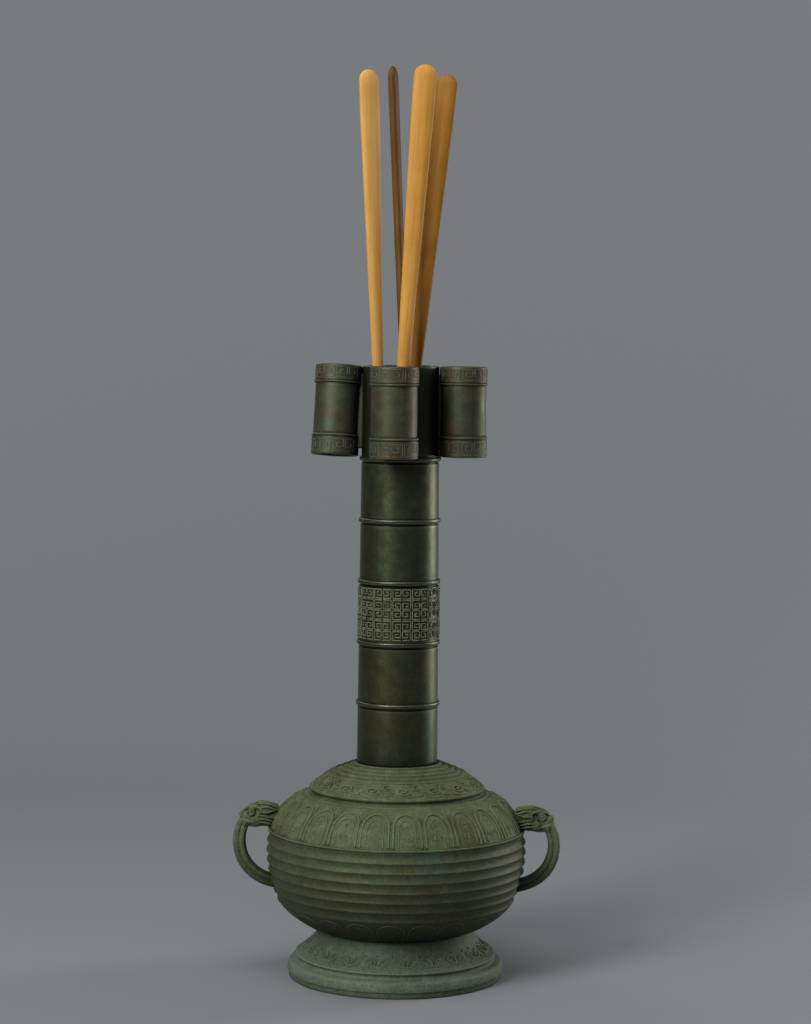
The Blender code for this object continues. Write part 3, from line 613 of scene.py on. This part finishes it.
def makeNeck():
    top = neckForm["mouth"][1]
    lip = neckRadius(top)
    bore = neckForm["bore"]
    outline = bow((lip - 1.3, top), (lip, top), (lip, top - 1.2), 4) + [(lip, top - 4)]
    for ring in reversed(range(neckForm["rings"])):
        z = neckForm["firstRing"] + neckForm["pitch"] * ring
        r = neckRadius(z)
        above = neckForm["bandProud"] if ring == 1 else 0
        below = neckForm["bandProud"] if ring == 2 else 0
        outline += stepsFrom(r, z, (above, 5.5), (above, 3.0))
        outline += bow(*stepsFrom(r, z, (above, 2.5), (2.5, 2.2), (1.9, 0)), 5)
        outline += bow(*stepsFrom(r, z, (1.9, 0), (2.1, -2.0), (-0.1, -2.2)), 4)[1:]
        outline += stepsFrom(r, z, (-0.9, -2.6), (-0.9, -3.5), (below, -4.2), (below, -6.8))
    foot, seat = neckForm["foot"]
    spigot, end = neckForm["spigot"]
    outline += [(foot, seat + 4.0), (foot, seat + 1.4), (foot - 0.5, seat), (spigot, seat), (spigot, end)]
    outline += [(bore, end), (bore, top - 0.8), (bore + 0.9, top)]
    piece = turnOutline("neck_casting", outline, neckForm["steps"])
    unevenCast(piece, *neckForm["waves"])
    low = neckForm["firstRing"] + neckForm["pitch"] + neckForm["bandEdge"]
    high = neckForm["firstRing"] + 2 * neckForm["pitch"] - neckForm["bandEdge"]
    band = [(neckRadius(low) + neckForm["bandProud"], low), (neckRadius(high) + neckForm["bandProud"], high)]
    rows = neckForm["fretRows"]
    motif = [fretCell(0.08, (row + 0.07) / rows, 0.82, 0.84 / rows, 0.85, row % 2) for row in range(rows)]
    frets = wrapMotif("fret_relief", band, motif, neckForm["fretColumns"], mirrored=True)
    unevenCast(frets, *neckForm["wear"])
    finished(neckBronze, piece)
    finished(reliefBronze, frets)
    piece = joined("neck_casting", [piece, frets])
    smoothFaces(piece)
    fitPiece(piece, "vase", ["neck_tube"])


# ears: open tubes with a fret band and a bead at each end, soldered to the neck by a saddle
earForm = {
    "steps": 96, "columns": 12, "waves": (30, 0.5),
    "half": 44.5, "radius": 23.4, "barrel": 22.5, "bore": 19.5, "topBand": 16.0, "footBand": 18.0,
    "saddle": (6.0, 11.0, 73.0), "saddleIn": 24.0, "saddleRound": 1.2, "reach": 61.96, "height": 563.5,
    # direction from the neck, lean outwards and tip aside in degrees, and how much farther out it stands
    "sides": {"right": (-3.5, 0, 0, 0), "rear": (86.5, 0, 0, 0), "left": (176.5, 1.9, 6.0, 1.48),
              "front": (266.5, 0, 0, 0)},
}


def makeEar(side):
    direction, lean, tip, spread = earForm["sides"][side]
    half, radius, barrel, bore = earForm["half"], earForm["radius"], earForm["barrel"], earForm["bore"]
    upper, lower = half - earForm["topBand"], earForm["footBand"] - half
    outline = bow((bore + 1.6, half), (radius, half), (radius, half - 1.0), 4) + [(radius, half - 2.6)]
    outline += stepsFrom(radius, upper, (0, 2.6), (0.1, 0.9), (-0.5, 0.5))
    outline += bow(*stepsFrom(radius, upper, (-0.5, 0.1), (1.7, -1.2), (-0.5, -2.5)), 6)
    outline += stepsFrom(barrel, upper, (-0.3, -2.9), (0, -3.8), (0, -5.5)) + [(barrel, 4), (barrel, -8)]
    outline += stepsFrom(barrel, lower, (0, 5.5), (0, 3.8), (-0.3, 2.9))
    outline += bow(*stepsFrom(radius, lower, (-0.5, 2.5), (1.7, 1.2), (-0.5, -0.1)), 6)
    outline += stepsFrom(radius, lower, (-0.5, -0.5), (0.1, -0.9), (0, -2.6)) + [(radius, 2.6 - half)]
    outline += bow((radius, 1.0 - half), (radius, -half), (radius - 1.0, -half), 4)
    outline += [(bore, -half), (bore, half - 1.0)]
    piece = turnOutline("ear_" + side, outline, earForm["steps"])
    topBand = [(radius, upper + 1.8), (radius, half - 1.6)]
    footBand = [(radius, 1.6 - half), (radius, lower - 1.8)]
    motif = [fretCell(0.06, 0.08, 0.84, 0.84, 0.55)]
    frets = [wrapMotif("ear_fret", band, motif, earForm["columns"], mirrored=True, sunk=(0.32, 0.0))
             for band in (topBand, footBand)]
    deselect()
    bpy.ops.mesh.primitive_cube_add(size=1 * mm)
    saddle = bpy.context.object
    bpy.ops.object.mode_set(mode="EDIT")
    bpy.ops.mesh.select_all(action="SELECT")
    wide, across, tall = earForm["saddle"]
    bpy.ops.transform.resize(value=(wide + spread, across, tall))
    bpy.ops.transform.translate(value=Vector((-earForm["saddleIn"] - spread / 2, 0, 0)) * mm)
    bpy.ops.mesh.bevel(offset=earForm["saddleRound"] * mm, segments=3, affect="EDGES")
    bpy.ops.object.mode_set(mode="OBJECT")
    finished(earBronze, piece, saddle, *frets)
    piece = joined("ear_" + side, [piece, saddle, *frets])
    unevenCast(piece, *earForm["waves"])
    place = Matrix.Translation(Vector((0, 0, earForm["height"])) * mm)
    place = place @ Matrix.Rotation(math.radians(direction), 4, "Z")
    place = place @ Matrix.Translation(Vector((earForm["reach"] + spread, 0, 0)) * mm)
    place = place @ Matrix.Rotation(-math.radians(lean), 4, "Y") @ Matrix.Rotation(math.radians(tip), 4, "X")
    piece.matrix_world = place
    pick(piece)
    bpy.ops.object.transform_apply(location=True, rotation=True, scale=True)
    smoothFaces(piece)
    fitPiece(piece, "vase", ["ear_tube_" + side])


makeFoot()
makeBelly()
makeDome()
makeNeck()
for side in earForm["sides"]:
    makeEar(side)
print("turned castings done")


# handles: a beast's head on the shoulder bites a grooved strap that bows down to the belly
handleForm = {
    "path": ((151.2, 153.0), (161.2, 141.0), (163.2, 99.5), (119.6, 91.5)), "pathSteps": 48,
    "voxel": 0.42, "waves": (12, 0.35),
    # half of the strap's section, across and deep
    "section": [(4.6, 6.0), (6.6, 5.2), (7.5, 3.4), (7.2, 1.3), (6.2, 0.0), (7.2, -1.3), (7.5, -3.4),
                (6.6, -5.2), (4.6, -6.0)],
    # place (out, aside, height) and radii of each lump in the middle of the head, and of those in pairs
    "jaw": ((139.0, 0, 151.2), (10.0, 7.6, 4.2)),
    "lumps": [
        ((122.0, 0.0, 158.2), (10.0, 10.8, 10.4)), ((132.0, 0.0, 159.2), (14.2, 11.8, 12.2)),
        ((145.0, 0.0, 157.0), (9.6, 9.0, 8.8)), ((149.6, 0.0, 156.6), (6.6, 8.4, 7.9)),
    ],
    "pairs": [
        ((148.5, 5.0, 153.0), (7.4, 4.0, 5.0)), ((138.5, 8.2, 154.0), (6.6, 4.0, 5.6)),
        ((154.0, 4.0, 160.2), (2.7, 2.7, 2.4)), ((145.0, 8.2, 162.6), (2.9, 2.3, 2.8)),
        ((141.4, 6.6, 166.4), (5.6, 3.4, 2.6)), ((129.4, 10.8, 165.4), (7.4, 2.2, 3.8)),
    ],
}


def makeStrap():
    p0, p1, p2, p3 = handleForm["path"]
    points = []
    for step in range(handleForm["pathSteps"] + 1):
        t = step / handleForm["pathSteps"]
        points.append(tuple((1 - t) ** 3 * a + 3 * t * (1 - t) ** 2 * b + 3 * t * t * (1 - t) * c + t ** 3 * d
                            for a, b, c, d in zip(p0, p1, p2, p3)))
    half = handleForm["section"]
    outline = half + [(-across, -depth) for across, depth in half]
    deselect()
    section = bpy.data.curves.new("strap_section", "CURVE")
    ring = section.splines.new("POLY")
    ring.points.add(len(outline) - 1)
    for point, (across, depth) in zip(ring.points, outline):
        point.co = (across * mm, depth * mm, 0, 1)
    ring.use_cyclic_u = True
    sectionObject = bpy.data.objects.new("strap_section", section)
    scene.collection.objects.link(sectionObject)
    curve = bpy.data.curves.new("strap", "CURVE")
    curve.dimensions = "3D"
    curve.bevel_mode = "OBJECT"
    curve.bevel_object = sectionObject
    curve.use_fill_caps = True
    spline = curve.splines.new("POLY")
    spline.points.add(len(points) - 1)
    for point, (out, up) in zip(spline.points, points):
        point.co = (out * mm, 0, up * mm, 1)
    strap = bpy.data.objects.new("strap", curve)
    scene.collection.objects.link(strap)
    pick(strap)
    bpy.ops.object.convert(target="MESH")
    strap = bpy.context.object
    closeMesh(strap)
    bpy.data.objects.remove(sectionObject)
    return strap


def addLump(place, radii):
    deselect()
    bpy.ops.mesh.primitive_uv_sphere_add(segments=32, ring_count=18, radius=1 * mm)
    lump = bpy.context.object
    bpy.ops.object.mode_set(mode="EDIT")
    bpy.ops.mesh.select_all(action="SELECT")
    bpy.ops.transform.resize(value=radii)
    bpy.ops.transform.translate(value=Vector(place) * mm)
    bpy.ops.object.mode_set(mode="OBJECT")
    return lump


# cords of one half of the head, with points (out, aside, height)
def headCords():
    # brow rolling over the eye and back into a curl
    brow = [(152.6, 2.4, 163.2), (149.6, 4.6, 165.6), (145.6, 7.2, 167.2), (141.0, 9.0, 168.0),
            (136.6, 10.6, 167.2), (134.2, 11.8, 164.6), (135.0, 12.4, 162.0), (137.4, 12.2, 162.2)]
    cords = [([0.9, 1.4, 1.8, 1.9, 1.7, 1.4, 1.1, 0.7], brow, False)]
    # lids round the eye
    lids = []
    for step in range(16):
        out, up = math.cos(turn * step / 16), math.sin(turn * step / 16)
        lids.append((145.0 + 3.5 * out, 9.7 - 0.35 * out, 162.6 + 3.1 * up))
    cords.append((0.75, lids, True))
    # swept ear with a hollow between two rims
    upper = [(136.0, 11.2, 165.8), (132.0, 12.8, 168.0), (127.5, 13.2, 168.6), (123.5, 12.8, 167.0),
             (120.0, 12.0, 164.4)]
    lower = [(135.0, 11.8, 162.8), (131.0, 12.8, 162.8), (127.0, 13.0, 163.0), (123.5, 12.8, 164.2),
             (120.0, 12.0, 164.4)]
    cords += [([0.6, 1.2, 1.4, 1.2, 0.5], upper, False), ([0.6, 1.0, 1.2, 1.0, 0.5], lower, False)]
    # mane locks running back from the brow over the skull
    for aside, up in ((1.6, 171.3), (4.9, 170.2), (7.9, 167.8)):
        lock = [(142.6 - 3.4 * s, aside + 0.25 * s, up - 0.16 * (s - 2.6) ** 2) for s in range(8)]
        cords.append(([0.7, 1.2, 1.4, 1.4, 1.35, 1.3, 1.1, 0.7], lock, False))
    # cheek curl and whisker locks sweeping back under the ear
    curl = spiral((139.6, 155.2), 0.4, 3.0, 0.4, 1.5, 20)
    cords.append((0.8, [(x, 12.0, z) for x, z in curl], False))
    for drop in range(3):
        up = 159.2 - 3.2 * drop
        lock = [(136.0 - 3.2 * s, 11.8 + 0.2 * math.sin(s), up - 0.35 * s + 0.5 * math.sin(s * 1.1))
                for s in range(6)]
        cords.append(([0.7, 1.2, 1.3, 1.2, 1.0, 0.6], lock, False))
    # curled nostril wing and the lip that runs back from it
    wing = spiral((153.8, 159.8), 0.5, 2.2, -0.6, 1.2, 14)
    cords.append((0.75, [(x + 0.6, 5.0 + 0.5 * abs(z - 159.8), z) for x, z in wing], False))
    lip = [(156.2, 1.2, 156.2), (155.4, 4.6, 155.2), (152.4, 7.6, 153.8), (147.6, 8.8, 152.8),
           (142.5, 9.8, 152.2), (139.0, 10.6, 153.4)]
    cords.append(([0.9, 1.1, 1.2, 1.2, 1.1, 0.7], lip, False))
    # fang beside the strap and the lower lip behind it
    fang = [(150.2, 7.8, 152.4), (150.8, 8.2, 150.6), (151.2, 8.2, 148.8), (151.2, 8.0, 147.2)]
    lowerLip = [(148.6, 3.0, 148.2), (145.0, 5.6, 148.2), (140.0, 7.6, 148.6), (134.0, 8.6, 149.6),
                (129.0, 8.6, 151.0)]
    cords += [([1.3, 1.1, 0.7, 0.25], fang, False), ([1.0, 1.3, 1.4, 1.2, 0.8], lowerLip, False)]
    return cords


def makeHandles():
    pieces = [makeStrap()]
    pieces += [addLump(place, radii) for place, radii in handleForm["lumps"]]
    cords = []
    for side in (-1, 1):
        pieces += [addLump((out, side * aside, up), radii) for (out, aside, up), radii in handleForm["pairs"]]
        cords += [(halves, [(out, side * aside, up) for out, aside, up in line], closed)
                  for halves, line, closed in headCords()]
    pieces.append(drawCords("head_cords", cords, 2))
    pieces.append(addLump(*handleForm["jaw"]))
    right = joined("handle_right_casting", pieces)
    applied(right, "REMESH", mode="VOXEL", voxel_size=handleForm["voxel"] * mm)
    applied(right, "SMOOTH", factor=0.5, iterations=2)
    unevenCast(right, *handleForm["waves"])
    pick(right)
    bpy.ops.object.duplicate(linked=False)
    left = bpy.context.object
    left.name = left.data.name = "handle_left_casting"
    bpy.ops.object.mode_set(mode="EDIT")
    bpy.ops.mesh.select_all(action="SELECT")
    bpy.ops.transform.rotate(value=math.pi, orient_axis="Z", center_override=(0, 0, 0))
    bpy.ops.object.mode_set(mode="OBJECT")
    for piece, node in ((right, "handle_right"), (left, "handle_left")):
        smoothFaces(piece, 60)
        finished(handleBronze, piece)
        fitPiece(piece, "vase", [node])


makeHandles()
print("handles done")


# arrows: nearly round at the foot, swelling to a flat blade with a rounded end
arrowForm = {
    "length": 849.0, "shaft": (9.5, 8.0), "blade": (22.4, 10.2), "sides": 32,
    # the blade widens from a height above the foot to a distance below the tip
    "bladeStart": 495.0, "bladeFull": 43.0,
    # degrees round the foot and the tip at which a section stands, and the sections between
    "footAngles": (12, 30, 50, 70), "tipAngles": (12, 24, 36, 48, 60, 70, 79, 85), "sections": 24,
    "floor": 52.3, "mouth": 608.0, "clearance": 0.3,
    # where each crosses the mouth, where it stands on the floor, the turn of its blade in degrees, its wood
    "stand": {
        "arrow_1": ((-23.9, 13.7), (0.2, -9.7), 35,
                    {"body": "F2BC68", "late": "E4AA56", "pore": "B4803C", "hands": "D89C4C"}),
        # arrow_2's wood is painted darker than the others: painted shade on the same golden wood
        "arrow_2": ((2.6, 1.2), (28.4, 27.4), 88,
                    {"body": "78541A", "late": "664512", "pore": "462D0A", "hands": "5E3B0E"}),
        "arrow_3": ((3.0, -28.8), (-34.8, -11.2), 4,
                    {"body": "EAAC52", "late": "D69840", "pore": "A4702C", "hands": "C48836"}),
        "arrow_4": ((13.5, 26.3), (-40.4, -0.1), -12,
                    {"body": "AE7A2A", "late": "9A6820", "pore": "764C18", "hands": "8C5A1A"}),
    },
}


def arrowSize(station):
    full = arrowForm["length"] - arrowForm["bladeFull"]
    share = min(max((station - arrowForm["bladeStart"]) / (full - arrowForm["bladeStart"]), 0), 1)
    return [(low + (high - low) * share) / 2 for low, high in zip(arrowForm["shaft"], arrowForm["blade"])]


def makeArrow(name):
    mouth, stand, bladeTurn, wood = arrowForm["stand"][name]
    footRound, tipRound = arrowForm["shaft"][0] / 2, arrowForm["blade"][0] / 2
    last = arrowForm["length"] - tipRound
    count = arrowForm["sections"]
    # height of each section and the share of its full size that the rounding leaves
    stations = [(footRound * (1 - math.cos(math.radians(a))), math.sin(math.radians(a)))
                for a in arrowForm["footAngles"]]
    stations += [(footRound + (last - footRound) * s / count, 1.0) for s in range(count + 1)]
    stations += [(last + tipRound * math.sin(math.radians(a)), math.cos(math.radians(a)))
                 for a in arrowForm["tipAngles"]]
    deselect()
    bpy.ops.mesh.primitive_circle_add(vertices=arrowForm["sides"], radius=1 * mm, fill_type="NGON")
    piece = bpy.context.object
    piece.name = piece.data.name = "stick_" + name
    bpy.ops.object.mode_set(mode="EDIT")
    bpy.ops.mesh.select_all(action="SELECT")
    size = (1.0, 1.0)
    spot = 0.0
    for index, (along, left) in enumerate(stations):
        goal = [half * left for half in arrowSize(along)]
        lift = Vector((0, 0, (along - spot) * mm))
        if index:
            bpy.ops.mesh.extrude_region_move(TRANSFORM_OT_translate={"value": lift})
        else:
            bpy.ops.transform.translate(value=lift)
        bpy.ops.transform.resize(value=(goal[0] / size[0], goal[1] / size[1], 1),
                                 center_override=(0, 0, along * mm))
        size, spot = goal, along
    bpy.ops.object.mode_set(mode="OBJECT")
    closeMesh(piece)
    foot = Vector((*stand, arrowForm["floor"]))
    up = (Vector((*mouth, arrowForm["mouth"])) - foot).normalized()
    across = Vector((math.cos(math.radians(bladeTurn)), math.sin(math.radians(bladeTurn)), 0))
    across = (across - up * across.dot(up)).normalized()
    foot.z += arrowForm["clearance"] + math.sqrt(1 - up.z * up.z) * arrowForm["shaft"][0] / 2
    leaning = Matrix((across, up.cross(across), up)).transposed().to_4x4()
    piece.matrix_world = Matrix.Translation(foot * mm) @ leaning
    pick(piece)
    bpy.ops.object.transform_apply(location=True, rotation=True, scale=True)
    smoothFaces(piece, 50)
    finished(rubbedWood("rubbed hardwood, " + name, wood, up), piece)
    fitPiece(piece, name, [name])


for name in arrowForm["stand"]:
    makeArrow(name)
print("arrows done")

# the plate in the bowl keeps its solid and takes the bowl's finish
finished(bellyBronze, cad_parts["floor_plate"])


# stage, in metres: pale paper sweep, soft key from the upper left, a soft box overhead, a tall strip at the
# right and a weak lamp behind
stage = {
    "paper": "8E9295", "width": 14.0, "front": 9.0, "back": 2.1, "rise": 4.5, "bend": 1.1, "nearly": 0.01,
    # what the camera sees of the paper and the air farther off, and where that begins and is complete
    "haze": "777B7E", "hazeFrom": 1.1, "hazeFull": 2.4,
    "lamps": [
        # place, aim, size, watts
        ("key", (-1.44, -1.99, 1.65), (0, 0, 0.40), (0.9, 1.5), 45),
        ("top", (-0.2, -0.8, 2.6), (0, 0, 0.2), (1.6, 1.6), 21),
        ("strip", (1.78, 0.90, 0.73), (0, 0, 0.45), (0.60, 1.42), 19),
        ("back", (-1.3, 1.5, 1.6), (0, 0, 0.4), (0.8, 0.8), 4),
    ],
    "world": "FFFFFF", "worldStrength": 0.06,
}


# matte paper, evenly pale to the camera at a distance; only its face shows, so that the vase can be seen from
# behind
def sweepPaper():
    paper, tree = emptyMaterial("matte backdrop paper")
    shader = addNode(tree, "BsdfPrincipled", {"Base Color": hexColour(stage["paper"]), "Roughness": 0.85})
    place = addNode(tree, "TexCoord").outputs["Object"]
    reach = addNode(tree, "VectorMath", {0: place}, operation="LENGTH").outputs["Value"]
    limits = {"Value": reach, "From Min": stage["hazeFrom"], "From Max": stage["hazeFull"]}
    far = addNode(tree, "MapRange", limits, interpolation_type="SMOOTHSTEP").outputs["Result"]
    seen = addNode(tree, "LightPath").outputs["Is Camera Ray"]
    hazy = addNode(tree, "Math", {0: far, 1: seen}, operation="MULTIPLY").outputs[0]
    glow = addNode(tree, "Emission", {"Color": hexColour(stage["haze"])})
    faded = addNode(tree, "MixShader", {0: hazy, 1: shader.outputs["BSDF"], 2: glow.outputs["Emission"]})
    away = addNode(tree, "NewGeometry").outputs["Backfacing"]
    clear = addNode(tree, "BsdfTransparent").outputs["BSDF"]
    faced = addNode(tree, "MixShader", {0: away, 1: faded.outputs["Shader"], 2: clear})
    addNode(tree, "OutputMaterial", {"Surface": faced.outputs["Shader"]})
    return paper


# the edges whose two ends both pass the test
def chooseEdges(piece, test):
    for edge in piece.data.edges:
        edge.select = all(test(piece.data.vertices[end].co) for end in edge.vertices)


def makeSweep():
    back = stage["back"] - stage["nearly"]
    deselect()
    bpy.ops.mesh.primitive_plane_add(size=1)
    floor = bpy.context.object
    floor.name = "paper_sweep"
    bpy.ops.object.mode_set(mode="EDIT")
    bpy.ops.mesh.select_all(action="SELECT")
    bpy.ops.transform.resize(value=(stage["width"], stage["front"] + stage["back"], 1))
    bpy.ops.transform.translate(value=(0, (stage["back"] - stage["front"]) / 2, 0))
    bpy.ops.mesh.select_all(action="DESELECT")
    bpy.ops.object.mode_set(mode="OBJECT")
    chooseEdges(floor, lambda end: end.y > back)
    bpy.ops.object.mode_set(mode="EDIT")
    bpy.ops.mesh.select_mode(type="EDGE")
    bpy.ops.mesh.extrude_region_move(TRANSFORM_OT_translate={"value": (0, 0, stage["rise"])})
    bpy.ops.object.mode_set(mode="OBJECT")
    chooseEdges(floor, lambda end: end.y > back and end.z < stage["nearly"])
    bpy.ops.object.mode_set(mode="EDIT")
    bpy.ops.mesh.bevel(offset=stage["bend"], segments=24, affect="EDGES")
    bpy.ops.mesh.select_all(action="SELECT")
    bpy.ops.mesh.normals_make_consistent(inside=False)
    bpy.ops.object.mode_set(mode="OBJECT")
    lowest = min(floor.data.polygons, key=lambda face: face.center.y)
    if lowest.normal.z < 0:
        floor.data.flip_normals()
    smoothFaces(floor, 60)
    floor.data.materials.append(sweepPaper())


def makeLamps():
    for name, place, aim, size, watts in stage["lamps"]:
        bpy.ops.object.light_add(type="AREA", location=place)
        lamp = bpy.context.object
        lamp.name = name
        lamp.rotation_euler = (Vector(aim) - Vector(place)).to_track_quat("-Z", "Y").to_euler()
        lamp.data.shape = "RECTANGLE"
        lamp.data.size, lamp.data.size_y = size
        lamp.data.energy = watts


# weak white light all round; the camera sees the haze instead
def makeWorld():
    world = bpy.data.worlds.new("studio air")
    world.use_nodes = True
    tree = world.node_tree
    tree.nodes.clear()
    light = {"Color": hexColour(stage["world"]), "Strength": stage["worldStrength"]}
    air = addNode(tree, "Background", light)
    wall = addNode(tree, "Background", {"Color": hexColour(stage["haze"])})
    seen = addNode(tree, "LightPath").outputs["Is Camera Ray"]
    mixed = addNode(tree, "MixShader", {0: seen, 1: air.outputs["Background"], 2: wall.outputs["Background"]})
    addNode(tree, "OutputWorld", {"Surface": mixed.outputs["Shader"]})
    scene.world = world


makeSweep()
makeLamps()
makeWorld()
print("stage done")
